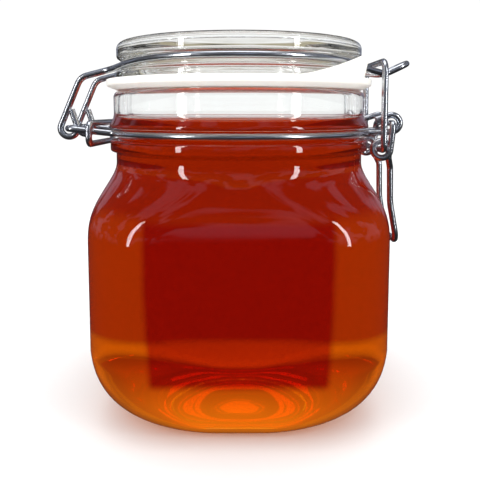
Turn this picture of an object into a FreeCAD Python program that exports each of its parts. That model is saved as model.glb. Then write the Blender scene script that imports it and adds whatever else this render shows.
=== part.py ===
import FreeCAD, Part
import math
import os

import Sketcher

# A clip-top preserving jar, shut and full of honey, in millimetres. +Z is up, the origin is on the
# jar's axis at its base, the hinge is on the -X side and the clasp on the +X side.

doc = FreeCAD.newDocument("honey_jar")
sheet = doc.addObject("Spreadsheet::Sheet", "sizes")

sizes = {
    # glass body, square with rounded corners
    "body_width": 105.4,
    "corner_radius": 28.0,
    "heel_inset": 15.2,
    "heel_height": 26.0,
    "base_side": 0.5,
    "shoulder_low": 62.0,
    "shoulder_high": 90.0,
    "wall": 3.6,
    "floor_thickness": 5.5,
    # glass neck and lip
    "neck_radius": 46.8,
    "neck_wall": 3.8,
    "neck_step": 0.2,
    "bead_rise": 4.2,
    "bead_out": 2.1,
    "bead_height": 4.4,
    "bead_round": 1.2,
    "wire_seat_in": 1.2,
    "wire_seat_height": 4.1,
    "ledge_out": 2.4,
    "ledge_height": 1.2,
    "ledge_slope": 3.1,
    "finish_out": 0.7,
    "finish_height": 9.35,
    "lip_round": 2.6,
    "headroom": 10.85,
    "honey_gap": 0.12,
    "honey_flare": 1.0,
    "cut_margin": 1.0,
    # sealing ring of rubber, with a pull tab that stands up
    "gasket_gap": 0.3,
    "gasket_in": 0.4,
    "gasket_flat_in": 1.2,
    "gasket_out": 2.5,
    "gasket_thickness": 2.4,
    "gasket_rise": 1.6,
    "tab_start": 67.0,
    "tab_end": 32.0,
    "tab_lift": 9.6,
    "tab_lean": 3.4,
    "tab_thickness": 2.2,
    "tab_foot": 2.6,
    "tab_foot_drop": 1.0,
    "tab_margin": 0.05,
    "tab_slope": 0.4,
    # glass lid
    "lid_gap": 0.05,
    "flange_in": 0.5,
    "flange_height": 2.2,
    "flange_round": 2.3,
    "flange_foot_in": 0.6,
    "flange_chamfer": 1.1,
    "groove_depth": 2.5,
    "groove_height": 4.1,
    "groove_slope": 0.7,
    "rim_in": 0.8,
    "rim_height": 6.5,
    "rim_round": 2.2,
    "lid_dish_in": 7.2,
    "lid_dish_depth": 1.8,
    "lid_dish_slope": 2.0,
    "lid_dish_round": 1.5,
    "lid_wall": 3.0,
    "lid_draft": 2.0,
    "lid_top": 4.0,
    # spring wire
    "wire_diameter": 2.35,
    "seat_gap": 0.12,
    "neck_wire_rise": 2.2,
    "neck_wire_run": 4.7,
    "neck_wire_bend": 3.5,
    # hinge: a bar of the neck wire, which two hooks of the lid wire go round
    "hinge_out": 13.7,
    "hinge_rise": 1.9,
    "hinge_half_width": 15.4,
    "hinge_bend": 2.6,
    "hook_half_width": 12.0,
    "hook_radius": 3.1,
    "hook_turn": 17.6,
    "hook_stub": 6.2,
    "leg_in": 4.7,
    "leg_drop": 5.2,
    "leg_bend": 5.0,
    "leg_root_drop": 2.3,
    "leg_root_bend": 6.0,
    "tie_out": 4.5,
    "tie_drop": 3.7,
    "tie_height": 7.5,
    "tie_skew": 0.6,
    "tie_bend": 2.4,
    # lid wire ring and nose
    "lid_wire_rise": 2.9,
    "lid_wire_run": 12.35,
    "nose_root_half_width": 10.5,
    "nose_root_drop": 2.0,
    "nose_root_bend": 4.0,
    "nose_half_width": 4.2,
    "nose_nook_out": 11.1,
    "nose_nook_drop": 3.5,
    "nose_nook_bend": 5.0,
    "nose_tip_out": 8.6,
    "nose_tip_rise": 0.6,
    # clasp: eyelets of the neck wire, a lever with two coils, and a link
    "eyelet_half_width": 11.0,
    "eyelet_out": 7.6,
    "eyelet_rise": 3.7,
    "eyelet_radius": 3.05,
    "eyelet_turn": 108.0,
    "eyelet_tail": 5.2,
    "lever_half_width": 14.0,
    "lever_bend": 2.0,
    "coil_in": 4.0,
    "coil_drop": 9.6,
    "coil_radius": 3.05,
    "coil_pitch": 2.55,
    "pin_reach": 8.8,
    "handle_half_width": 8.85,
    "handle_root_drop": 3.3,
    "handle_root_out": 1.3,
    "handle_root_run": 3.5,
    "handle_root_bend": 2.6,
    "handle_bend_drop": 20.4,
    "handle_bend": 24.0,
    "handle_clearance": 4.5,
    "handle_end_out": 2.8,
    "handle_end_drop": 35.3,
    "handle_end_bend": 4.5,
    "link_half_width": 16.7,
    "link_pin_reach": 10.0,
    "link_pin_bend": 2.0,
    "link_bar_bend": 4.0,
    "link_bar_in": 3.2,
    "link_bar_rise": 0.35,
}

# what follows from the sizes above; each one only uses names that come before it
worked_sizes = {
    "bead_low": "shoulder_high + bead_rise",
    "bead_high": "bead_low + bead_height",
    "ledge_low": "bead_high + wire_seat_height",
    "ledge_high": "ledge_low + ledge_height",
    "ledge_slope_high": "ledge_high + ledge_slope",
    "lip_high": "ledge_slope_high + finish_height",
    "honey_level": "lip_high - headroom",
    "bore_radius": "neck_radius - neck_wall",
    "bead_radius": "neck_radius + bead_out",
    "wire_seat_radius": "neck_radius - wire_seat_in",
    "ledge_radius": "neck_radius + ledge_out",
    "finish_radius": "neck_radius + finish_out",
    "gasket_low": "lip_high + gasket_gap",
    "gasket_high": "gasket_low + gasket_thickness",
    "gasket_bore_radius": "bore_radius - gasket_in",
    "gasket_flat_radius": "finish_radius - gasket_flat_in",
    "gasket_radius": "finish_radius + gasket_out",
    "lid_low": "gasket_high + lid_gap",
    "flange_top": "lid_low + flange_height + flange_round",
    "groove_high": "flange_top + groove_height",
    "lid_high": "groove_high + rim_height",
    "lid_hollow_high": "lid_high - lid_dish_depth - lid_top",
    "flange_radius": "finish_radius - flange_in",
    "groove_radius": "flange_radius - groove_depth",
    "rim_radius": "flange_radius - rim_in",
    "lid_dish_radius": "rim_radius - lid_dish_in",
    "lid_hollow_radius": "groove_radius - lid_wall",
    "neck_wire_high": "bead_high + neck_wire_rise",
    "hinge_reach": "bead_radius + hinge_out",
    "hinge_high": "neck_wire_high + hinge_rise",
    "tie_reach": "bead_radius + tie_out",
    "tie_low": "neck_wire_high - tie_drop",
    "lid_wire_high": "flange_top + lid_wire_rise",
    "leg_reach": "hinge_reach - leg_in",
    "nose_nook_reach": "groove_radius + nose_nook_out",
    "nose_reach": "nose_nook_reach + nose_tip_out",
    "eyelet_reach": "bead_radius + eyelet_out",
    "eyelet_high": "neck_wire_high + eyelet_rise",
    "coil_reach": "eyelet_reach - coil_in",
    "coil_high": "eyelet_high - coil_drop",
    "handle_reach": "body_width / 2 + handle_clearance",
    "link_reach": "nose_nook_reach - link_bar_in",
    "link_high": "lid_wire_high + link_bar_rise",
}

for row, (alias, content) in enumerate({**sizes, **worked_sizes}.items(), start=1):
    sheet.set(f"A{row}", alias)
    if isinstance(content, str):
        content = f"={content}"
    sheet.set(f"B{row}", str(content))
    sheet.setAlias(f"B{row}", alias)
doc.recompute()


def size(alias):
    """The number in the sheet's cell of that name."""
    return float(sheet.get(alias))


def worked_out(expression):
    """The value of an expression on the sheet's cells."""
    return float(sheet.evalExpression(expression))


def origin_plane(body, role):
    for feature in body.Origin.OriginFeatures:
        if feature.Role == role:
            return feature
    raise ValueError(role)


def new_body(label):
    body = doc.addObject("PartDesign::Body", label)
    body.Label = label
    return body


def new_sketch(body, name, role):
    sketch = body.newObject("Sketcher::SketchObject", name)
    sketch.AttachmentSupport = [(origin_plane(body, role), "")]
    sketch.MapMode = "FlatFace"
    return sketch


def bind_point(sketch, geometry, end, x, y):
    """Hold one end of a line, or an arc's centre, at two expressions."""
    for kind, axis, expression in (("DistanceX", -2, x), ("DistanceY", -1, y)):
        if expression == "0":
            sketch.addConstraint(Sketcher.Constraint("PointOnObject", geometry, end, axis))
            continue
        value = worked_out(expression)
        index = sketch.addConstraint(Sketcher.Constraint(kind, -1, 1, geometry, end, value))
        name = f"at_{geometry}_{end}_{kind}"
        sketch.renameConstraint(index, name)
        sketch.setExpression(f"Constraints.{name}", expression)


def draw_outline(sketch, corners):
    """A closed outline of straight lines; each corner is a pair of expressions."""
    points = [FreeCAD.Vector(worked_out(x), worked_out(y), 0) for x, y in corners]
    count = len(points)
    for index in range(count):
        sketch.addGeometry(Part.LineSegment(points[index], points[(index + 1) % count]), False)
    for index in range(count):
        sketch.addConstraint(Sketcher.Constraint("Coincident", index, 2, (index + 1) % count, 1))
    for index, (x, y) in enumerate(corners):
        bind_point(sketch, index, 1, x, y)


def draw_rounded_square(sketch, half, radius):
    """Four arcs and four lines; half and radius are expressions."""
    offset = worked_out(f"{half} - ({radius})")
    value = worked_out(radius)
    normal = FreeCAD.Vector(0, 0, 1)
    signs = ((1, 1), (-1, 1), (-1, -1), (1, -1))
    for index, (x, y) in enumerate(signs):
        circle = Part.Circle(FreeCAD.Vector(x * offset, y * offset, 0), normal, value)
        start = index * math.pi / 2
        sketch.addGeometry(Part.ArcOfCircle(circle, start, start + math.pi / 2), False)
    for index in range(4):
        start = sketch.getPoint(index, 2)
        end = sketch.getPoint((index + 1) % 4, 1)
        sketch.addGeometry(Part.LineSegment(start, end), False)
    for index in range(4):
        line = 4 + index
        sketch.addConstraint(Sketcher.Constraint("Tangent", index, 2, line, 1))
        sketch.addConstraint(Sketcher.Constraint("Tangent", line, 2, (index + 1) % 4, 1))
    for index, (x, y) in enumerate(signs):
        bind_point(sketch, index, 3, f"{x} * ({half} - ({radius}))", f"{y} * ({half} - ({radius}))")
        bend = sketch.addConstraint(Sketcher.Constraint("Radius", index, value))
        sketch.renameConstraint(bend, f"bend_{index}")
        sketch.setExpression(f"Constraints.bend_{index}", radius)


def revolve(body, name, corners, kind="PartDesign::Revolution"):
    sketch = new_sketch(body, f"{name}_outline", "XZ_Plane")
    draw_outline(sketch, corners)
    feature = body.newObject(kind, name)
    feature.Profile = sketch
    feature.ReferenceAxis = (sketch, ["V_Axis"])
    feature.Angle = 360
    doc.recompute()
    return feature


def round_rings(body, name, rings, radius):
    """Fillet the circular edges that lie at each (radius, height) pair of expressions."""
    base = body.Tip
    wanted = [(worked_out(r), worked_out(z)) for r, z in rings]
    names = []
    for index, edge in enumerate(base.Shape.Edges, start=1):
        if not isinstance(edge.Curve, Part.Circle):
            continue
        spot = (edge.Curve.Radius, edge.Curve.Center.z)
        if any(abs(spot[0] - r) < 0.01 and abs(spot[1] - z) < 0.01 for r, z in wanted):
            names.append(f"Edge{index}")
    if len(names) < len(rings):
        raise ValueError(f"{name}: {len(names)} edges found for {len(rings)} rings")
    fillet = body.newObject("PartDesign::Fillet", name)
    fillet.Base = (base, names)
    fillet.setExpression("Radius", radius)
    doc.recompute()
    return fillet


# ---- the square body's sections -------------------------------------------------------------

shoulder_steps = 9
heel_steps = 6
shoulder_lag = 1.6       # over 1, the shoulder turns in late and meets the neck quickly
heel_lead = 0.45         # under 1, the section turns round soon on its way down to the base
nearly_round = 0.15      # the flat left between the corner arcs where the section is round


def body_sections(inset, base_height, neck_half):
    """(height, half width, corner radius) expressions from the base to the neck.

    inset is how far inside the outer face the section lies; base_height is where it starts.
    """
    half = f"(sizes.body_width / 2 - {inset})"
    corner = f"(sizes.corner_radius - {inset})"
    base_corner = f"({half} - sizes.heel_inset - sizes.base_side)"
    neck = f"({neck_half})"
    sections = []
    for step in range(heel_steps):
        angle = math.pi / 2 * step / heel_steps
        rise = 1 - math.cos(angle)
        inward = 1 - math.sin(angle)
        height = f"{base_height} + (sizes.heel_height - {base_height}) * {rise:.5f}"
        width = f"{half} - sizes.heel_inset * {inward:.5f}"
        bend = f"{corner} + ({base_corner} - {corner}) * {inward ** heel_lead:.5f}"
        sections.append((height, width, bend))
    middle = "sizes.heel_height * 0.5 + sizes.shoulder_low * 0.5"
    for height in ("sizes.heel_height", middle):
        sections.append((height, half, corner))
    span = "(sizes.shoulder_high - sizes.shoulder_low)"
    for step in range(shoulder_steps + 1):
        part = step / shoulder_steps
        weight = (1 - math.cos(math.pi * part ** shoulder_lag)) / 2
        height = f"sizes.shoulder_low + {span} * {part:.5f}"
        width = f"{half} + ({neck} - {half}) * {weight:.5f}"
        bend = f"{corner} + ({neck} - {nearly_round} - {corner}) * {weight:.5f}"
        sections.append((height, width, bend))
    return sections


def loft(body, name, sections, kind):
    sketches = []
    for index, (height, half, radius) in enumerate(sections):
        sketch = new_sketch(body, f"{name}_{index}", "XY_Plane")
        sketch.setExpression("AttachmentOffset.Base.z", height)
        draw_rounded_square(sketch, half, radius)
        sketches.append(sketch)
    doc.recompute()
    feature = body.newObject(kind, name)
    feature.Profile = sketches[0]
    feature.Sections = sketches[1:]
    doc.recompute()
    return feature


# ---- the glass jar --------------------------------------------------------------------------

def make_jar_glass():
    body = new_body("jar_glass")
    neck = "(sizes.neck_radius - sizes.neck_step)"
    loft(body, "jar_outside", body_sections("0", "0", neck), "PartDesign::AdditiveLoft")
    revolve(body, "jar_finish", [
        ("0", "sizes.shoulder_high"),
        ("sizes.neck_radius", "sizes.shoulder_high"),
        ("sizes.neck_radius", "sizes.bead_low"),
        ("sizes.bead_radius", "sizes.bead_low"),
        ("sizes.bead_radius", "sizes.bead_high"),
        ("sizes.wire_seat_radius", "sizes.bead_high"),
        ("sizes.wire_seat_radius", "sizes.ledge_low"),
        ("sizes.ledge_radius", "sizes.ledge_low"),
        ("sizes.ledge_radius", "sizes.ledge_high"),
        ("sizes.finish_radius", "sizes.ledge_slope_high"),
        ("sizes.finish_radius", "sizes.lip_high"),
        ("0", "sizes.lip_high"),
    ])
    bore = "(sizes.bore_radius - sizes.neck_step)"
    sections = body_sections("sizes.wall", "sizes.floor_thickness", bore)
    loft(body, "jar_inside", sections, "PartDesign::SubtractiveLoft")
    revolve(body, "jar_bore", [
        ("0", "sizes.shoulder_high"),
        ("sizes.bore_radius", "sizes.shoulder_high"),
        ("sizes.bore_radius", "sizes.lip_high + sizes.cut_margin"),
        ("0", "sizes.lip_high + sizes.cut_margin"),
    ], "PartDesign::Groove")
    round_rings(body, "jar_lip", [("sizes.finish_radius", "sizes.lip_high")], "sizes.lip_round")
    round_rings(body, "jar_bead", [
        ("sizes.bead_radius", "sizes.bead_low"),
        ("sizes.bead_radius", "sizes.bead_high"),
    ], "sizes.bead_round")
    return body


# ---- the honey ------------------------------------------------------------------------------

def make_honey():
    body = new_body("honey")
    inset = "(sizes.wall + sizes.honey_gap)"
    base = "(sizes.floor_thickness + sizes.honey_gap)"
    neck = "(sizes.bore_radius - sizes.honey_gap)"
    shoulder = f"({neck} - sizes.neck_step)"
    loft(body, "honey_bulk", body_sections(inset, base, shoulder), "PartDesign::AdditiveLoft")
    revolve(body, "honey_neck", [
        ("0", "sizes.shoulder_high"),
        (f"{shoulder} - sizes.neck_step", "sizes.shoulder_high"),
        (neck, "sizes.shoulder_high + sizes.honey_flare"),
        (neck, "sizes.honey_level"),
        ("0", "sizes.honey_level"),
    ])
    return body


# ---- the lid and its sealing ring -----------------------------------------------------------

tab_steps = 6
tab_lag = 1.25           # over 1, the tab leaves the ring gently


def make_lid_glass():
    body = new_body("lid_glass")
    revolve(body, "lid_block", [
        ("0", "sizes.lid_low"),
        ("sizes.gasket_flat_radius - sizes.flange_foot_in", "sizes.lid_low"),
        ("sizes.flange_radius", "sizes.lid_low + sizes.flange_chamfer"),
        ("sizes.flange_radius", "sizes.flange_top"),
        ("sizes.groove_radius", "sizes.flange_top"),
        ("sizes.groove_radius", "sizes.groove_high"),
        ("sizes.rim_radius", "sizes.groove_high + sizes.groove_slope"),
        ("sizes.rim_radius", "sizes.lid_high"),
        ("sizes.lid_dish_radius", "sizes.lid_high"),
        ("sizes.lid_dish_radius - sizes.lid_dish_slope", "sizes.lid_high - sizes.lid_dish_depth"),
        ("0", "sizes.lid_high - sizes.lid_dish_depth"),
    ])
    revolve(body, "lid_hollow", [
        ("0", "sizes.lid_low - sizes.cut_margin"),
        ("sizes.lid_hollow_radius", "sizes.lid_low - sizes.cut_margin"),
        ("sizes.lid_hollow_radius", "sizes.lid_low + sizes.lid_draft"),
        ("sizes.lid_hollow_radius - sizes.lid_draft", "sizes.lid_hollow_high"),
        ("0", "sizes.lid_hollow_high"),
    ], "PartDesign::Groove")
    round_rings(body, "flange_rounding", [("sizes.flange_radius", "sizes.flange_top")],
                "sizes.flange_round")
    round_rings(body, "rim_rounding", [("sizes.rim_radius", "sizes.lid_high")], "sizes.rim_round")
    round_rings(body, "dish_rounding", [("sizes.lid_dish_radius", "sizes.lid_high")],
                "sizes.lid_dish_round")
    return body


def tab_section(lift):
    """The tab's cross-section, in a plane through the jar's axis; lift goes from 0, flush, to 1."""
    foot = "sizes.gasket_radius - sizes.tab_foot"
    face = "sizes.gasket_radius - sizes.tab_margin"
    low = "sizes.gasket_low + sizes.gasket_rise"
    high = f"{low} + sizes.gasket_thickness"
    lean = f"sizes.tab_lean * {lift:.4f}"
    top = f"{high} - 2 * sizes.tab_margin + sizes.tab_lift * {lift:.4f}"
    return [
        (foot, f"{low} - sizes.tab_foot_drop"),
        (face, f"{low} + sizes.tab_margin"),
        (f"{face} + {lean}", f"{top} - sizes.tab_slope * {lift:.4f}"),
        (f"{face} - sizes.tab_thickness + {lean}", top),
        (foot, f"{high} - sizes.tab_foot_drop"),
    ]


def make_gasket():
    body = new_body("gasket")
    revolve(body, "gasket_ring", [
        ("sizes.gasket_bore_radius", "sizes.gasket_low"),
        ("sizes.gasket_flat_radius", "sizes.gasket_low"),
        ("sizes.gasket_radius", "sizes.gasket_low + sizes.gasket_rise"),
        ("sizes.gasket_radius", "sizes.gasket_high + sizes.gasket_rise"),
        ("sizes.gasket_flat_radius", "sizes.gasket_high"),
        ("sizes.gasket_bore_radius", "sizes.gasket_high"),
    ])
    sketches = []
    for step in range(tab_steps + 1):
        part = step / tab_steps
        angle = f"sizes.tab_end + (sizes.tab_start - sizes.tab_end) * {1 - part:.5f}"
        sketch = new_sketch(body, f"tab_{step}", "XZ_Plane")
        turn = FreeCAD.Rotation(FreeCAD.Vector(0, -1, 0), worked_out(angle))
        sketch.AttachmentOffset = FreeCAD.Placement(FreeCAD.Vector(), turn)
        sketch.setExpression("AttachmentOffset.Rotation.Angle", angle)
        draw_outline(sketch, tab_section(part ** tab_lag))
        sketches.append(sketch)
    doc.recompute()
    tab = body.newObject("PartDesign::AdditiveLoft", "tab")
    tab.Profile = sketches[0]
    tab.Sections = sketches[1:]
    doc.recompute()
    return body


# ---- bent wire ------------------------------------------------------------------------------

def corner(point, radius=None, reach=None):
    """A corner of a wire's route: its bend's radius, or how far the bend reaches each way."""
    return {"at": FreeCAD.Vector(*point), "radius": radius, "reach": reach}


def around(place, radius, start, end, count):
    """Corners of a route that goes round a circle, from one angle to another in degrees.

    place turns two coordinates and the share of the way gone into a point.
    """
    step = math.radians(end - start) / count
    distance = radius / math.cos(step / 2)
    points = []
    for index in range(count):
        angle = math.radians(start) + step * (index + 0.5)
        points.append(place(distance * math.cos(angle), distance * math.sin(angle), (index + 0.5) / count))
    side = (FreeCAD.Vector(*points[1]) - FreeCAD.Vector(*points[0])).Length
    return [corner(point, reach=side / 2) for point in points]


def mirrored(corners):
    """The same corners on the +Y side, in the opposite order."""
    result = []
    for item in reversed(corners):
        spot = item["at"]
        result.append(corner((spot.x, -spot.y, spot.z), item["radius"], item["reach"]))
    return result


def route(corners, closed=False):
    """One wire of straight runs and tangent arcs through the corners."""
    edges = []
    count = len(corners)
    bends = []
    for index, item in enumerate(corners):
        if not closed and index in (0, count - 1):
            bends.append(None)
            continue
        spot = item["at"]
        before = (spot - corners[index - 1]["at"]).normalize()
        after = (corners[(index + 1) % count]["at"] - spot).normalize()
        half_turn = before.getAngle(after) / 2
        reach = item["reach"] or item["radius"] * math.tan(half_turn)
        radius = reach / math.tan(half_turn)
        inward = (after - before).normalize()
        middle = spot + inward * (radius / math.cos(half_turn) - radius)
        bends.append((spot - before * reach, middle, spot + after * reach))
    if closed:
        here = bends[-1][2]
    else:
        here = corners[0]["at"]
    for index in range(count):
        bend = bends[index]
        if bend is None:
            if index == count - 1:
                edges.append(Part.LineSegment(here, corners[-1]["at"]).toShape())
            continue
        start, middle, end = bend
        if (start - here).Length > 0.001:
            edges.append(Part.LineSegment(here, start).toShape())
            here = start
        edges.append(Part.Arc(here, middle, end).toShape())
        here = end
    return Part.Wire(edges)


def make_wire(label, corners, closed=False):
    """Round wire swept along the route."""
    path = doc.addObject("Part::Feature", f"{label}_route")
    path.Shape = route(corners, closed)
    section = doc.addObject("Part::Circle", f"{label}_section")
    section.setExpression("Radius", "sizes.wire_diameter / 2")
    first = path.Shape.OrderedEdges[0]
    start = first.valueAt(first.FirstParameter)
    heading = first.tangentAt(first.FirstParameter)
    turn = FreeCAD.Rotation(FreeCAD.Vector(0, 0, 1), heading)
    section.Placement = FreeCAD.Placement(start, turn)
    sweep = doc.addObject("Part::Sweep", label)
    sweep.Label = label
    sweep.Sections = [section]
    sweep.Spine = (path, [f"Edge{index + 1}" for index in range(len(path.Shape.Edges))])
    sweep.Solid = True
    sweep.Frenet = False
    doc.recompute()
    return sweep


def side_on(centre_x, centre_z, y_start, y_end=None):
    """Turns two coordinates into a point of a circle seen from -Y, its layer shifting on the way."""
    if y_end is None:
        y_end = y_start

    def place(across, up, part):
        return (centre_x + across, y_start + (y_end - y_start) * part, centre_z + up)
    return place


def level(height):
    def place(x, y, part):
        return (x, y, height)
    return place


def tangent_meets(radius, angle, y):
    """Where the tangent of a circle about Z at an angle meets a line of that y."""
    turn = math.radians(angle)
    return (radius - y * math.sin(turn)) / math.cos(turn)


def tangent_angle(from_x, from_z, centre_x, centre_z, radius, side):
    """The angle at which a line from a point touches a circle."""
    across = from_x - centre_x
    up = from_z - centre_z
    spread = math.degrees(math.acos(radius / math.hypot(across, up)))
    return math.degrees(math.atan2(up, across)) + side * spread


def leaving_turn(radius, half_width, run):
    """How far before a line of that y a ring about Z is left, in degrees, for a straight run."""
    return math.degrees(math.asin((half_width + run) / radius))


def make_neck_wire():
    # round the neck; an eyelet at each end, a square loop for the hinge at the back
    radius = size("wire_seat_radius") + size("wire_diameter") / 2 + size("seat_gap")
    height = size("neck_wire_high")
    eye = size("eyelet_radius")
    eye_x = size("eyelet_reach")
    eye_z = size("eyelet_high")
    layer = -size("eyelet_half_width")
    side = -size("hinge_half_width")
    tail = math.radians(size("eyelet_turn"))
    tail_start = (eye_x + eye * math.cos(tail), eye_z + eye * math.sin(tail))
    tail_end = (tail_start[0] - size("eyelet_tail") * math.sin(tail),
                tail_start[1] + size("eyelet_tail") * math.cos(tail))
    run = size("neck_wire_run")
    bend = size("neck_wire_bend")
    clasp_angle = 360 - leaving_turn(radius, -layer, run)
    hinge_angle = 180 + leaving_turn(radius, -side, run)
    near = [corner((tail_end[0], layer, tail_end[1]))]
    near += around(side_on(eye_x, eye_z, layer), eye, size("eyelet_turn"), -90, 4)
    near.append(corner((tangent_meets(radius, clasp_angle, layer), layer, height), bend))
    near += around(level(height), radius, clasp_angle, hinge_angle, 4)
    near.append(corner((tangent_meets(radius, hinge_angle, side), side, height), bend))
    near.append(corner((-size("hinge_reach"), side, size("hinge_high")), size("hinge_bend")))
    return make_wire("neck_wire", near + mirrored(near))


def make_hinge_tie():
    # a closed loop that holds the hinge loop's two strands together beside the neck
    x = -size("tie_reach")
    skew = size("tie_skew")
    half = size("hinge_half_width") + size("wire_diameter") + size("seat_gap")
    low = size("tie_low")
    high = low + size("tie_height")
    bend = size("tie_bend")
    corners = [
        corner((x - skew, -half, low), bend),
        corner((x - skew, -half, high), bend),
        corner((x + skew, half, high), bend),
        corner((x + skew, half, low), bend),
    ]
    return make_wire("hinge_tie", corners, closed=True)


tip_flat = 0.05          # half the straight run left between the two bends of the nose's tip


def make_lid_wire():
    # round the lid; hooks on the hinge bar at the back, a rising nose at the clasp
    radius = size("groove_radius") + size("wire_diameter") / 2 + size("seat_gap")
    height = size("lid_wire_high")
    hook = size("hook_radius")
    hook_x = -size("hinge_reach")
    hook_z = size("hinge_high")
    layer = -size("hook_half_width")
    side = -size("nose_root_half_width")
    narrow = -size("nose_half_width")
    stub_turn = math.radians(size("hook_turn"))
    stub_base = (hook_x + hook * math.cos(stub_turn), hook_z + hook * math.sin(stub_turn))
    stub_end = (stub_base[0] - size("hook_stub") * math.sin(stub_turn),
                stub_base[1] + size("hook_stub") * math.cos(stub_turn))
    leg_x = -size("leg_reach")
    leg_z = height - size("leg_drop")
    leg_turn = tangent_angle(leg_x, leg_z, hook_x, hook_z, hook, 1)
    run = size("lid_wire_run")
    hinge_angle = 180 + leaving_turn(radius, -layer, run)
    nose_angle = 360 - leaving_turn(radius, -side, run)
    near = [corner((stub_end[0], layer, stub_end[1]))]
    near += around(side_on(hook_x, hook_z, layer), hook, size("hook_turn"), leg_turn - 360, 4)
    near.append(corner((leg_x, layer, leg_z), size("leg_bend")))
    leg_root = (tangent_meets(radius, hinge_angle, layer), layer, height - size("leg_root_drop"))
    near.append(corner(leg_root, size("leg_root_bend")))
    near += around(level(height), radius, hinge_angle, nose_angle, 3)
    nose_root = (tangent_meets(radius, nose_angle, side), side, height - size("nose_root_drop"))
    near.append(corner(nose_root, size("nose_root_bend")))
    nook = (size("nose_nook_reach"), narrow, height - size("nose_nook_drop"))
    near.append(corner(nook, size("nose_nook_bend")))
    tip = (size("nose_reach"), narrow, height + size("nose_tip_rise"))
    near.append(corner(tip, -narrow - tip_flat))
    return make_wire("lid_wire", near + mirrored(near))


def make_lever():
    # a bail handle; its ends turn in through the eyelets, and each arm winds one coil
    eye_x = size("eyelet_reach")
    eye_z = size("eyelet_high")
    coil_x = size("coil_reach")
    coil_z = size("coil_high")
    coil = size("coil_radius")
    outer = -size("lever_half_width")
    inner = outer + size("coil_pitch")
    grip = -size("handle_half_width")
    bend = size("lever_bend")
    start = tangent_angle(eye_x, eye_z, coil_x, coil_z, coil, -1)
    root_x = coil_x + coil
    root_z = coil_z - size("handle_root_drop")
    neck_x = root_x + size("handle_root_out")
    neck_z = root_z - size("handle_root_run")
    end_x = size("handle_reach") + size("handle_end_out")
    near = [corner((eye_x, -size("pin_reach"), eye_z))]
    near.append(corner((eye_x, outer, eye_z), bend))
    near += around(side_on(coil_x, coil_z, outer, inner), coil, start, -360, 5)
    near.append(corner((root_x, inner, root_z), bend))
    near.append(corner((neck_x, grip, neck_z), size("handle_root_bend")))
    bend_z = coil_z - size("handle_bend_drop")
    near.append(corner((size("handle_reach"), grip, bend_z), size("handle_bend")))
    end_z = coil_z - size("handle_end_drop")
    near.append(corner((end_x, grip, end_z), size("handle_end_bend")))
    return make_wire("lever", near + mirrored(near))


def make_clamp_link():
    # a square loop; its ends turn in through the coils, its top bar hooks over the nose
    pin = -size("link_pin_reach")
    side = -size("link_half_width")
    near = [
        corner((size("coil_reach"), pin, size("coil_high"))),
        corner((size("coil_reach"), side, size("coil_high")), size("link_pin_bend")),
        corner((size("link_reach"), side, size("link_high")), size("link_bar_bend")),
    ]
    return make_wire("clamp_link", near + mirrored(near))


# ---- everything -----------------------------------------------------------------------------

nodes = [
    make_jar_glass(),
    make_honey(),
    make_neck_wire(),
    make_hinge_tie(),
    make_lid_glass(),
    make_gasket(),
    make_lid_wire(),
    make_clamp_link(),
    make_lever(),
]
doc.recompute()

for item in doc.Objects:
    if "Invalid" in item.State or "Error" in item.State:
        raise RuntimeError(f"{item.Label}: {item.State}")

os.makedirs("parts", exist_ok=True)
for node in nodes:
    shape = node.Shape
    if shape.isNull() or not shape.isValid():
        raise RuntimeError(f"{node.Label} has no valid shape")
    if len(shape.Solids) != 1:
        raise RuntimeError(f"{node.Label} has {len(shape.Solids)} solids")
    shape.exportStep(f"parts/{node.Label}.step")
    print(f"{node.Label}: {shape.Volume / 1000:.2f} cm3, {len(shape.Faces)} faces")
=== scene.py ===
import math

import bmesh
import bpy
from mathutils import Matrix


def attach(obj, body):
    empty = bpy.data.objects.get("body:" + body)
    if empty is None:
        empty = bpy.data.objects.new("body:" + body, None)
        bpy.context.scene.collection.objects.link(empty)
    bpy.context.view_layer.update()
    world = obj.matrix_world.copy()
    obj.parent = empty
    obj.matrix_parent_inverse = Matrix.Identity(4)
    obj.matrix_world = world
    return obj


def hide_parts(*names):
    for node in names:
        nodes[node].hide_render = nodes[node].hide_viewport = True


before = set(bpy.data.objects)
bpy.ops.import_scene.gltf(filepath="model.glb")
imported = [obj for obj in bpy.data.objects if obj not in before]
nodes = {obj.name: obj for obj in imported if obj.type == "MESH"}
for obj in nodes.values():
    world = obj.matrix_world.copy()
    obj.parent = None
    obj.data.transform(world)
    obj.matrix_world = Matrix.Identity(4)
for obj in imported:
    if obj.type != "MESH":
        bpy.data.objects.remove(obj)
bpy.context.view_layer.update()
ops = bpy.ops
mm = 0.001
innermost = 1.2  # radius of the last ring before a disc closes on the axis
print("frame loaded:", len(nodes), "pieces")


# modelling helpers; profiles are in millimetres

def clearSelection():
    if bpy.context.mode != "OBJECT":
        ops.object.mode_set(mode="OBJECT")
    ops.object.select_all(action="DESELECT")


def finishMesh(obj, angle):  # welds, turns normals outwards, smooths edges below the angle
    ops.mesh.select_all(action="SELECT")
    ops.mesh.remove_doubles(threshold=0.000002)
    ops.mesh.select_all(action="SELECT")
    ops.mesh.normals_make_consistent(inside=False)
    ops.mesh.select_all(action="DESELECT")
    ops.object.mode_set(mode="OBJECT")
    ops.object.shade_smooth_by_angle(angle=math.radians(angle))
    print("modelled", obj.name, len(obj.data.polygons), "faces")
    return obj


def squareReach(turn, half, bend):  # centre to edge of a square with round corners, at an angle
    turn = math.fmod(abs(turn), math.pi / 2)
    turn = min(turn, math.pi / 2 - turn)
    straight = half - bend
    if math.tan(turn) * half <= straight:
        return half / math.cos(turn)
    along = straight * (math.cos(turn) + math.sin(turn))
    return along + math.sqrt(max(along * along - 2 * straight * straight + bend * bend, 0))


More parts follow.
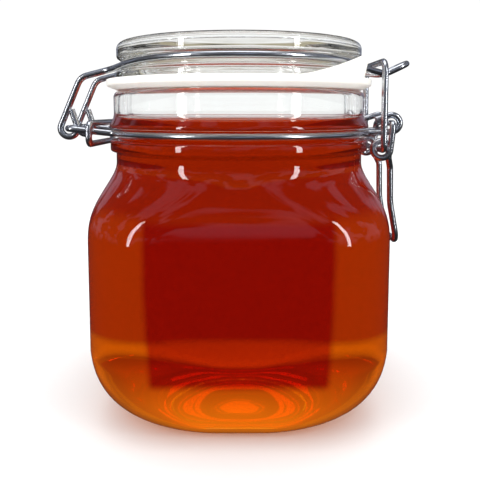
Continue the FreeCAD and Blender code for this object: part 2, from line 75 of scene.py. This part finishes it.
def shapeRing(obj, height, half, bend):  # moves the selected ring onto a round-cornered square
    data = bmesh.from_edit_mesh(obj.data)
    for vert in data.verts:
        if vert.select:
            turn = math.atan2(vert.co.y, vert.co.x)
            reach = squareReach(turn, half, min(bend, half)) * mm
            vert.co = (reach * math.cos(turn), reach * math.sin(turn), height * mm)
    bmesh.update_edit_mesh(obj.data)


def startRing(name, count, height, half, bend):  # a new object in edit mode: one ring, selected
    clearSelection()
    ops.mesh.primitive_circle_add(vertices=count, radius=half * mm, location=(0, 0, 0))
    obj = bpy.context.object
    obj.name = obj.data.name = name
    ops.object.mode_set(mode="EDIT")
    ops.mesh.select_mode(type="VERT")
    ops.mesh.select_all(action="SELECT")
    shapeRing(obj, height, half, bend)
    return obj


def selectOpenRings(obj):  # the rings that have faces on one side only
    ops.mesh.select_all(action="DESELECT")
    data = bmesh.from_edit_mesh(obj.data)
    for vert in data.verts:
        vert.select = vert.is_boundary
    data.select_flush_mode()
    bmesh.update_edit_mesh(obj.data)


def extrudeRings(obj, rings):  # each ring is (height, half width, corner radius)
    for height, half, bend in rings:
        ops.mesh.extrude_region_move(TRANSFORM_OT_translate={"value": (0, 0, 0.0001)})
        shapeRing(obj, height, half, bend)


def closeRing(obj, height):  # draws the selected ring together on the axis
    ops.mesh.extrude_region_move(TRANSFORM_OT_translate={"value": (0, 0, 0.0001)})
    shapeRing(obj, height, innermost, innermost)
    ops.mesh.extrude_region_move(TRANSFORM_OT_translate={"value": (0, 0, 0)})
    ops.mesh.merge(type="CENTER")


def arc(centerX, centerZ, radius, start, end, count):  # (height, radius) points, degrees
    points = []
    for index in range(count + 1):
        turn = math.radians(start + (end - start) * index / count)
        points.append((centerZ + radius * math.sin(turn), centerX + radius * math.cos(turn)))
    return points


def roundRings(points):  # (height, radius) points as rings that are circles
    return [(height, radius, radius) for height, radius in points]


def smoothSteps(points, width):  # eases the corners of a (height, radius) profile
    eased = [points[0]]
    for before, here, after in zip(points, points[1:], points[2:]):
        back = math.dist(before, here)
        ahead = math.dist(here, after)
        reach = min(width, back * 0.45, ahead * 0.45)  # two neighbours never meet
        if reach < 0.05:  # too short to ease
            eased.append(here)
            continue
        start = [h + (b - h) * reach / back for h, b in zip(here, before)]
        end = [h + (a - h) * reach / ahead for h, a in zip(here, after)]
        for share in (0, 0.25, 0.5, 0.75, 1):
            first, middle, last = (1 - share) ** 2, 2 * share * (1 - share), share ** 2
            eased.append(tuple(first * s + middle * h + last * e
                               for s, h, e in zip(start, here, end)))
    eased.append(points[-1])
    return eased


# the square body's sections, the same for glass and honey but for an inset

body = {
    "half": 52.7, "bend": 28.0, "heelInset": 15.2, "heelHigh": 26.0, "baseSide": 0.5,
    "shoulderLow": 62.0, "shoulderHigh": 90.0, "shoulderLag": 1.6, "heelLead": 0.45,
    "wall": 3.6, "floor": 5.5, "neck": 46.8, "bore": 43.0,
    "heelSteps": 18, "sideSteps": 5, "shoulderSteps": 28, "turns": 192,
}


def bodyRings(inset, low, neck):
    half = body["half"] - inset
    bend = body["bend"] - inset
    baseBend = half - body["heelInset"] - body["baseSide"]
    rings = []
    for step in range(body["heelSteps"] + 1):
        angle = math.pi / 2 * step / body["heelSteps"]
        rise = 1 - math.cos(angle)
        inward = max(1 - math.sin(angle), 0)
        height = low + (body["heelHigh"] - low) * rise
        weight = inward ** body["heelLead"]
        rings.append((height, half - body["heelInset"] * inward, bend + (baseBend - bend) * weight))
    span = body["shoulderLow"] - body["heelHigh"]
    for step in range(1, body["sideSteps"]):
        rings.append((body["heelHigh"] + span * step / body["sideSteps"], half, bend))
    rise = body["shoulderHigh"] - body["shoulderLow"]
    for step in range(body["shoulderSteps"] + 1):
        share = step / body["shoulderSteps"]
        weight = (1 - math.cos(math.pi * share ** body["shoulderLag"])) / 2
        rings.append((body["shoulderLow"] + rise * share, half + (neck - half) * weight,
                      bend + (neck - bend) * weight))
    return rings


# the glass jar, and the level the honey comes up to

honey = {
    "intoWall": 0.15, "level": 105.5,
    "meniscus": [(0.3, 0), (0, 0.12), (0.15, 0.45), (0.43, 1.0), (0.52, 2.2), (0.55, 4)],  # down, inwards
}
jarNeck = {
    "beadOut": 48.9, "beadLow": 94.2, "beadHigh": 98.6, "seat": 45.6, "ledgeLow": 102.7,
    "ledgeHigh": 103.9, "ledge": 49.2, "slopeHigh": 107.0, "finish": 47.5, "lip": 116.35,
    "lipOutBend": 2.2, "lipInBend": 1.2, "lipStraight": 2.6, "boreTop": 110, "boreLow": 95, "ease": 1.1,
}
jarFoot = {
    "rings": [(0.1, 35.2, 35.2), (0, 36.4, 36.0)], "edge": 0.35, "reach": 33.5,
    "dimple": 0.9, "dimpleReaches": (31, 28, 24, 20, 16, 12, 8, 4), "floorReaches": (24, 12),
}


def makeJar():
    outer = bodyRings(0, 0, body["neck"])
    neck = smoothSteps([
        (outer[-1][0], body["neck"]),
        (jarNeck["beadLow"], body["neck"]),
        (jarNeck["beadLow"], jarNeck["beadOut"]),
        (jarNeck["beadHigh"], jarNeck["beadOut"]),
        (jarNeck["beadHigh"], jarNeck["seat"]),
        (jarNeck["ledgeLow"], jarNeck["seat"]),
        (jarNeck["ledgeLow"], jarNeck["ledge"]),
        (jarNeck["ledgeHigh"], jarNeck["ledge"]),
        (jarNeck["slopeHigh"], jarNeck["finish"]),
        (jarNeck["lip"] - jarNeck["lipStraight"], jarNeck["finish"]),
    ], jarNeck["ease"])[1:]
    bend = jarNeck["lipOutBend"]
    lip = arc(jarNeck["finish"] - bend, jarNeck["lip"] - bend, bend, 0, 90, 8)
    bend = jarNeck["lipInBend"]
    lip += arc(body["bore"] + bend, jarNeck["lip"] - bend, bend, 90, 180, 5)
    boreHeights = (jarNeck["boreTop"], honey["level"], jarNeck["boreLow"])
    bore = [(height, body["bore"]) for height in boreHeights]
    inner = bodyRings(body["wall"], body["floor"], body["bore"])[::-1]
    obj = startRing("jar", body["turns"], jarFoot["edge"], jarFoot["reach"], jarFoot["reach"])
    extrudeRings(obj, jarFoot["rings"] + outer + roundRings(neck + lip + bore) + inner)
    extrudeRings(obj, roundRings([(body["floor"], reach) for reach in jarFoot["floorReaches"]]))
    closeRing(obj, body["floor"])
    selectOpenRings(obj)
    for reach in jarFoot["dimpleReaches"]:  # the push-up under the base
        rise = jarFoot["edge"] + jarFoot["dimple"] * (1 - (reach / jarFoot["reach"]) ** 2)
        extrudeRings(obj, [(rise, reach, reach)])
    closeRing(obj, jarFoot["edge"] + jarFoot["dimple"])
    return finishMesh(obj, 60)


# the honey; its skin lies just inside the glass wall

def makeHoney():
    inset = body["wall"] - honey["intoWall"]
    neck = body["bore"] + honey["intoWall"]
    low = body["floor"] - honey["intoWall"]
    creep = [(honey["level"] - down, neck - inwards) for down, inwards in honey["meniscus"]]
    flat = creep[-1][0]
    rings = [(low, 24, 24)] + bodyRings(inset, low, neck)
    rings += roundRings([(95, neck), (100, neck)] + creep + [(flat, 30), (flat, 15)])
    obj = startRing("honey_fill", body["turns"], low, 12, 12)
    extrudeRings(obj, rings)
    closeRing(obj, flat)
    selectOpenRings(obj)
    closeRing(obj, low)
    return finishMesh(obj, 60)


# the glass lid

lid = {
    "low": 119.1, "foot": 45.7, "flange": 47.0, "flangeTop": 123.6, "groove": 44.5,
    "grooveHigh": 127.7, "rim": 46.2, "high": 134.2, "dish": 39.0, "dishDepth": 1.8,
    "hollow": 41.5, "hollowHigh": 128.4, "footBevel": 1.2, "footRise": 1.1, "rimRise": 0.7,
    "rimBend": 2.6, "rimStraight": 2.4, "dishLand": 3, "dishSlope": 2.2, "dishFlat": 8,
    "ease": 1.4, "dishEase": 1.5, "hollowEase": 2.2, "turns": 160,
}


def makeLid():
    low, high = lid["low"], lid["high"]
    dish = high - lid["dishDepth"]
    footInner = (low, lid["hollow"] + lid["footBevel"])
    outer = smoothSteps([  # the walls lean in by a tenth or two, as pressed glass does
        footInner,
        (low, lid["foot"]),
        (low + lid["footRise"], lid["flange"]),
        (lid["flangeTop"] - 0.2, lid["flange"] - 0.1),
        (lid["flangeTop"], lid["groove"] + 0.1),
        (lid["grooveHigh"] - 0.2, lid["groove"]),
        (lid["grooveHigh"] + lid["rimRise"], lid["rim"]),
        (high - lid["rimStraight"], lid["rim"]),
    ], lid["ease"])
    rim = arc(lid["rim"] - lid["rimBend"], high - lid["rimBend"], lid["rimBend"], 0, 90, 9)
    rim += smoothSteps([
        (high, lid["dish"] + lid["dishLand"]),
        (high, lid["dish"]),
        (dish, lid["dish"] - lid["dishSlope"]),
        (dish, lid["dish"] - lid["dishFlat"]),
    ], lid["dishEase"])
    inner = smoothSteps([
        (lid["hollowHigh"], 24),
        (lid["hollowHigh"], lid["hollow"] - 2.0),
        (low + 2, lid["hollow"]),
        (low, lid["hollow"]),
        footInner,
    ], lid["hollowEase"])
    obj = startRing("lid", lid["turns"], lid["hollowHigh"], 12, 12)
    extrudeRings(obj, roundRings(inner[:-1] + outer[1:] + rim + [(dish, 20), (dish, 10)]))
    closeRing(obj, dish)
    selectOpenRings(obj)
    closeRing(obj, lid["hollowHigh"])
    return finishMesh(obj, 60)


# the rubber ring and its pull tab

gasket = {
    "low": 116.65, "bore": 42.6, "flat": 46.3, "out": 50.0, "thick": 2.4, "rise": 1.6,
    "tabStart": 67.0, "tabEnd": 32.0, "tabCut": 0.6, "tabCurve": 1.25, "tabLift": 9.6, "tabLean": 3.4,
    "ease": 0.5, "turns": 240,
}


def limit(value):  # keeps a share between 0 and 1
    return max(min(value, 1), 0)


def raiseTab(obj):  # the ring's outer edge turns up into a tongue that leans outwards
    data = bmesh.from_edit_mesh(obj.data)
    for vert in data.verts:
        turn = -math.degrees(math.atan2(vert.co.y, vert.co.x))
        if not gasket["tabEnd"] - gasket["tabCut"] < turn < gasket["tabStart"]:
            continue
        share = min((gasket["tabStart"] - turn) / (gasket["tabStart"] - gasket["tabEnd"]), 1)
        reach = math.hypot(vert.co.x, vert.co.y) / mm
        height = vert.co.z / mm
        weight = limit((reach - gasket["flat"]) / (gasket["out"] - gasket["flat"]))
        weight *= limit((height - gasket["low"] - gasket["rise"] * weight) / gasket["thick"])
        lift = share ** gasket["tabCurve"] * weight
        if turn < gasket["tabEnd"]:  # the tongue's end is cut off nearly square
            lift *= limit((turn - gasket["tabEnd"] + gasket["tabCut"]) / gasket["tabCut"])
        wider = 1 + gasket["tabLean"] * lift / reach
        vert.co.x *= wider
        vert.co.y *= wider
        vert.co.z += gasket["tabLift"] * lift * mm
    bmesh.update_edit_mesh(obj.data)


def makeGasket():
    low, thick, rise = gasket["low"], gasket["thick"], gasket["rise"]
    section = [
        (low, gasket["bore"]), (low, gasket["flat"]), (low + rise, gasket["out"]),
        (low + thick + rise, gasket["out"]), (low + thick, gasket["flat"]),
        (low + thick, gasket["bore"]),
    ]
    eased = smoothSteps(section + section[:2], gasket["ease"])[1:-1]
    height, radius = eased[0]
    obj = startRing("gasket_ring", gasket["turns"], height, radius, radius)
    extrudeRings(obj, roundRings(eased[1:]))
    selectOpenRings(obj)
    ops.mesh.bridge_edge_loops()  # joins the last ring to the first
    raiseTab(obj)
    return finishMesh(obj, 50)


jarPiece = makeJar()
honeyPiece = makeHoney()
lidPiece = makeLid()
gasketPiece = makeGasket()


# shader maths: sockets that can be added, multiplied and so on

class Value:
    def __init__(self, tree, socket):
        self.tree = tree
        self.socket = socket

    def node(self, kind, inputs=None, output=0, **settings):
        item = self.tree.nodes.new(kind)
        for name, setting in settings.items():
            setattr(item, name, setting)
        for name, given in (inputs or {}).items():
            if isinstance(given, Value):
                self.tree.links.new(given.socket, item.inputs[name])
            else:
                item.inputs[name].default_value = given
        return Value(self.tree, item.outputs[output])

    def math(self, operation, first, second=0.0):
        return self.node("ShaderNodeMath", {0: first, 1: second}, operation=operation)

    def __add__(self, other):
        return self.math("ADD", self, other)

    def __radd__(self, other):
        return self.math("ADD", other, self)

    def __sub__(self, other):
        return self.math("SUBTRACT", self, other)

    def __rsub__(self, other):
        return self.math("SUBTRACT", other, self)

    def __mul__(self, other):
        return self.math("MULTIPLY", self, other)

    def __rmul__(self, other):
        return self.math("MULTIPLY", other, self)

    def noise(self, scale, detail=3.0, roughness=0.5):
        return self.node("ShaderNodeTexNoise", {"Vector": self, "Scale": scale, "Detail": detail,
                                                "Roughness": roughness})

    def part(self, axis):  # one of a vector's three numbers
        return self.node("ShaderNodeSeparateXYZ", {0: self}, output=axis)

    def step(self, low, high):  # eases from 0 at low to 1 at high
        return self.node("ShaderNodeMapRange", {"Value": self, "From Min": low, "From Max": high},
                         interpolation_type="SMOOTHSTEP")

    def blend(self, first, second):  # a colour between two, by this value
        return self.node("ShaderNodeMix", {"Factor": self, 6: first, 7: second}, output=2,
                         data_type="RGBA")

    def bump(self, strength, distance):
        return self.node("ShaderNodeBump", {"Height": self, "Strength": strength,
                                            "Distance": distance})


def newMaterial(name):
    material = bpy.data.materials.new(name)
    material.use_nodes = True
    tree = material.node_tree
    shader = tree.nodes["Principled BSDF"]
    output = tree.nodes["Material Output"]
    place = tree.nodes.new("ShaderNodeTexCoord")
    return material, tree, shader, output, Value(tree, place.outputs["Object"])


def feed(shader, name, value):
    value.tree.links.new(value.socket, shader.inputs[name])


glassLook = {
    "index": 1.5, "wetIndex": 1.0, "cool": (0.975, 0.99, 0.985, 1), "clear": (0.99, 1, 0.995, 1),
    "wave": 0.25, "waveDeep": 0.0006,
}


def glassMaterial(name, index):  # clear soda glass, faintly uneven
    material, tree, shader, output, place = newMaterial(name)
    shader.inputs["IOR"].default_value = index
    shader.inputs["Transmission Weight"].default_value = 1.0
    shader.inputs["Roughness"].default_value = 0.0
    feed(shader, "Base Color", place.noise(55, 2).blend(glassLook["cool"], glassLook["clear"]))
    feed(shader, "Normal", place.noise(32, 1.5).bump(glassLook["wave"], glassLook["waveDeep"]))
    return material


honeyLook = {
    "index": 1.49, "density": 150, "through": (0.965, 0.867, 0.0, 1),
    # painted light and shade in the tint: a deep painted-shade tint behind the flat panels and at the
    # shoulder, the plain tint on the sides, a lighter painted-light tint at the heel
    "panelShade": (0.37, 0.022, 0.01, 1), "side": (0.72, 0.42, 0.2, 1), "heelLight": (0.62, 0.5, 0.3, 1),
    # painted glow in the emission: faint on the sides, strongest at the heel, dimmest behind the panels
    "sideGlow": (0.065, 0.012, 0.0, 1), "heelGlow": (0.43, 0.115, 0.003, 1),
    "deepGlow": (0.035, 0.0, 0.0, 1),
    "topDark": (0.95, 0.55, 0.12, 1), "topLight": (1, 0.68, 0.2, 1),
    "panelHalf": 30.5, "panelLow": 21, "panelHigh": 74, "panelMiddle": 60, "panelBow": 0.0012,
    "rearStart": 15, "rearEnd": 42, "rearWider": 20, "rearHigher": 8,
    "neckLow": 76, "neckHigh": 92, "heelLow": 6, "heelHigh": 34,
    "topShare": 0.75, "neckShare": 0.15, "glowShare": 0.8,
}


def honeyMaterial():  # clear amber with painted light and shade: the tint is deepest behind the flat panels and at the shoulder, lighter at the heel, and a painted glow shines brightest at the heel
    material, tree, shader, output, place = newMaterial("clear_honey")
    shader.inputs["IOR"].default_value = glassLook["wetIndex"]
    shader.inputs["Transmission Weight"].default_value = 1.0
    shader.inputs["Roughness"].default_value = 0.0
    drift = place.noise(45, 3)
    across, along, up = [place.part(axis) * 1000 for axis in range(3)]
    nearer = place.math("MINIMUM", across.math("ABSOLUTE", across), along.math("ABSOLUTE", along))
    rear = along.step(honeyLook["rearStart"], honeyLook["rearEnd"])
    above = up - honeyLook["panelMiddle"]
    nearer = nearer + above * above * honeyLook["panelBow"] + drift * 1.5
    nearer = nearer - rear * honeyLook["rearWider"]
    up = up + rear * honeyLook["rearHigher"]
    # painted shade: where the deep tint goes, behind the flat panels, wider and higher at the back
    panelShade = 1 - nearer.step(honeyLook["panelHalf"] - 1, honeyLook["panelHalf"] + 2)
    panelShade = panelShade * up.step(honeyLook["panelLow"] - 2, honeyLook["panelLow"] + 1.5)
    # painted shade: the tint deepens towards the shoulder and the neck
    shoulderShade = up.step(honeyLook["panelHigh"] - 2, honeyLook["panelHigh"] + 3)
    neck = up.step(honeyLook["neckLow"], honeyLook["neckHigh"])
    panelShade = panelShade * (1 - shoulderShade)
    # painted light: a lighter tint and a stronger glow towards the heel, with ragged edges from the drift
    # noise
    heelLight = 1 - (up + drift * 6).step(honeyLook["heelLow"], honeyLook["heelHigh"])
    colour = heelLight.blend(honeyLook["side"], honeyLook["heelLight"])
    paintedDarkening = shoulderShade * honeyLook["topShare"] + neck * honeyLook["neckShare"]
    colour = paintedDarkening.blend(colour, honeyLook["panelShade"])
    feed(shader, "Base Color", panelShade.blend(colour, honeyLook["panelShade"]))
    # painted glow: the emission is brightest at the heel and dims at the shoulder and behind the panels
    glow = heelLight.blend(honeyLook["sideGlow"], honeyLook["heelGlow"])
    glow = (shoulderShade * honeyLook["glowShare"]).blend(glow, honeyLook["deepGlow"])
    feed(shader, "Emission Color", panelShade.blend(glow, honeyLook["deepGlow"]))
    shader.inputs["Emission Strength"].default_value = 1.0
    skin = Value(tree, shader.outputs["BSDF"])
    surface = skin.node("ShaderNodeBsdfPrincipled", {
        "Base Color": drift.blend(honeyLook["topDark"], honeyLook["topLight"]),
        "IOR": honeyLook["index"], "Transmission Weight": 1.0, "Roughness": 0.02,
        "Normal": place.noise(60, 1).bump(0.1, 0.0005)})  # only the free surface gleams by itself
    level = (place.part(2) * 1000).step(honey["level"] - 0.8, honey["level"] - 0.6)
    mix = skin.node("ShaderNodeMixShader", {0: level, 1: skin, 2: surface})
    tree.links.new(mix.socket, output.inputs["Surface"])
    depth = tree.nodes.new("ShaderNodeVolumeAbsorption")
    depth.inputs["Color"].default_value = honeyLook["through"]
    depth.inputs["Density"].default_value = honeyLook["density"]
    tree.links.new(depth.outputs["Volume"], output.inputs["Volume"])
    return material


def wireMaterial():  # bright drawn steel, with faint scratches
    material, tree, shader, output, place = newMaterial("spring_steel")
    shader.inputs["Metallic"].default_value = 1.0
    fine = place.noise(900, 3)
    broad = place.noise(70, 4)
    feed(shader, "Base Color", broad.blend((0.55, 0.58, 0.64, 1), (0.78, 0.80, 0.84, 1)))
    feed(shader, "Roughness", fine * 0.10 + 0.20)
    feed(shader, "Normal", fine.bump(0.12, 0.0001))
    return material


def rubberMaterial():  # off-white sealing rubber with a fine grain
    material, tree, shader, output, place = newMaterial("pale_rubber")
    grain = place.noise(1400, 2)
    cloud = place.noise(60, 3)
    feed(shader, "Base Color", cloud.blend((0.80, 0.78, 0.72, 1), (0.90, 0.89, 0.85, 1)))
    feed(shader, "Roughness", grain * 0.15 + 0.42)
    feed(shader, "Normal", grain.bump(0.15, 0.0001))
    shader.inputs["Subsurface Weight"].default_value = 0.15
    shader.inputs["Subsurface Radius"].default_value = (1.0, 0.8, 0.6)
    shader.inputs["Subsurface Scale"].default_value = 0.002
    return material


def floorMaterial():  # matt and pale; seen through glass it shines by itself
    material, tree, shader, output, place = newMaterial("pale_floor")
    feed(shader, "Base Color", place.noise(6, 2).blend((0.86, 0.86, 0.86, 1), (0.88, 0.88, 0.88, 1)))
    feed(shader, "Roughness", place.noise(30, 2) * 0.1 + 0.8)
    shader.inputs["Specular IOR Level"].default_value = 0.0
    paths = Value(tree, tree.nodes.new("ShaderNodeLightPath").outputs["Is Transmission Ray"])
    matt = Value(tree, shader.outputs["BSDF"])
    glow = matt.node("ShaderNodeEmission", {"Strength": 0.95})
    mix = paths.node("ShaderNodeMixShader", {0: paths, 1: matt, 2: glow})
    tree.links.new(mix.socket, output.inputs["Surface"])
    return material


def dress(obj, material):
    obj.data.materials.clear()
    obj.data.materials.append(material)


wetted = {"low": 4, "floorHigh": 30, "neckLow": 89, "play": 0.6}


def wetFaces(obj):  # the jar's faces that touch the honey take the second material
    for face in obj.data.polygons:
        spot = face.center / mm
        inwards = spot.x * face.normal.x + spot.y * face.normal.y < 0
        onFloor = face.normal.z > 0.5 and spot.z < wetted["floorHigh"]
        touches = wetted["low"] < spot.z < honey["level"] and (onFloor or inwards)
        inBore = math.hypot(spot.x, spot.y) < body["bore"] + wetted["play"]
        if touches and (spot.z <= wetted["neckLow"] or inBore):
            face.material_index = 1


glass = glassMaterial("clear_glass", glassLook["index"])
steel = wireMaterial()
dress(jarPiece, glass)
jarPiece.data.materials.append(glassMaterial("wetted_glass", glassLook["wetIndex"]))
wetFaces(jarPiece)
dress(lidPiece, glass)
dress(honeyPiece, honeyMaterial())
dress(gasketPiece, rubberMaterial())
for name in ("neck_wire", "hinge_tie", "lid_wire", "lever", "clamp_link"):
    dress(nodes[name], steel)
print("materials made")


# what each piece moves with, and what it stands for

for piece, rides, stands, slot in (
    (jarPiece, "jar", "jar_glass", "jar_glass"),
    (honeyPiece, "jar", "honey", "honey"),
    (lidPiece, "lid", "lid_glass", "lid_glass"),
    (gasketPiece, "lid", "gasket", "gasket"),
):
    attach(piece, rides)
    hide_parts(stands)


# floor, lights, camera

clearSelection()
ops.mesh.primitive_plane_add(size=6, location=(0, 0, 0))
floor = bpy.context.object
floor.name = "floor"
floor.visible_glossy = False
dress(floor, floorMaterial())

studio = {
    "seen": 1.04, "fill": 1.2,
    "low": (0.02, 0.02, 0.022, 1), "dark": (0.05, 0.045, 0.04, 1), "light": (0.30, 0.33, 0.42, 1),
    "bright": (1.0, 1.0, 1.0, 1), "ceiling": (0.42, 0.38, 0.27, 1), "beam": (0.12, 0.11, 0.09, 1),
}


def makeWorld():  # white all round at eye level, a dimmer room for reflections
    world = bpy.data.worlds.new("studio")
    bpy.context.scene.world = world
    world.use_nodes = True
    tree = world.node_tree
    background = tree.nodes["Background"]
    paths = tree.nodes.new("ShaderNodeLightPath")
    glossy = Value(tree, paths.outputs["Is Glossy Ray"])
    through = Value(tree, paths.outputs["Is Transmission Ray"])
    diffuse = Value(tree, paths.outputs["Is Diffuse Ray"])
    place = tree.nodes.new("ShaderNodeTexCoord")
    way = Value(tree, place.outputs["Generated"])
    up = way.part(2)
    patches = way.noise(3.5, 2).step(0.48, 0.60)
    room = patches.blend(studio["dark"], studio["light"])
    room = up.step(-0.1, 0.12).blend(studio["low"], room)
    ceiling = patches.blend(studio["ceiling"], studio["beam"])
    sky = up.step(0.06, 0.30).blend(studio["bright"], ceiling)
    colour = through.blend(glossy.blend((1, 1, 1, 1), room), sky)
    strength = diffuse * (studio["fill"] - studio["seen"]) + studio["seen"]
    tree.links.new(colour.socket, background.inputs["Color"])
    tree.links.new(strength.socket, background.inputs["Strength"])


makeWorld()


def areaLight(name, place, width, height, power):  # a panel turned to the jar's middle
    clearSelection()
    ops.object.light_add(type="AREA", location=place)
    lamp = bpy.context.object
    lamp.name = name
    lamp.data.shape = "RECTANGLE"
    lamp.data.size = width
    lamp.data.size_y = height
    lamp.data.energy = power
    heading = [a - p for a, p in zip((0, 0, 0.065), place)]
    turn = math.atan2(heading[0], -heading[1])
    flat = math.hypot(heading[0], heading[1])
    lamp.rotation_euler = (math.atan2(flat, -heading[2]), 0, math.pi + turn)


areaLight("left_window", (-0.50, -0.42, 0.26), 0.06, 0.5, 1.2)
areaLight("right_window", (0.50, -0.42, 0.26), 0.06, 0.5, 1.2)
areaLight("top_light", (0, -0.05, 0.75), 0.5, 0.5, 1.5)

view = {"place": (0.0004, -0.2343, 0.109), "down": 5.86, "lens": 45.1, "shift": -0.14, "bounces": 24}

scene = bpy.context.scene
cameraData = bpy.data.cameras.new("camera")
camera = bpy.data.objects.new("camera", cameraData)
scene.collection.objects.link(camera)
camera.location = view["place"]
camera.rotation_euler = (math.radians(90 - view["down"]), 0, 0)
cameraData.lens = view["lens"]
cameraData.sensor_width = 36
cameraData.shift_y = view["shift"]
cameraData.clip_start = 0.01
scene.camera = camera
scene.view_settings.view_transform = "Standard"
scene.cycles.max_bounces = view["bounces"]
scene.cycles.transmission_bounces = view["bounces"]
scene.cycles.glossy_bounces = 8
print("stage set")
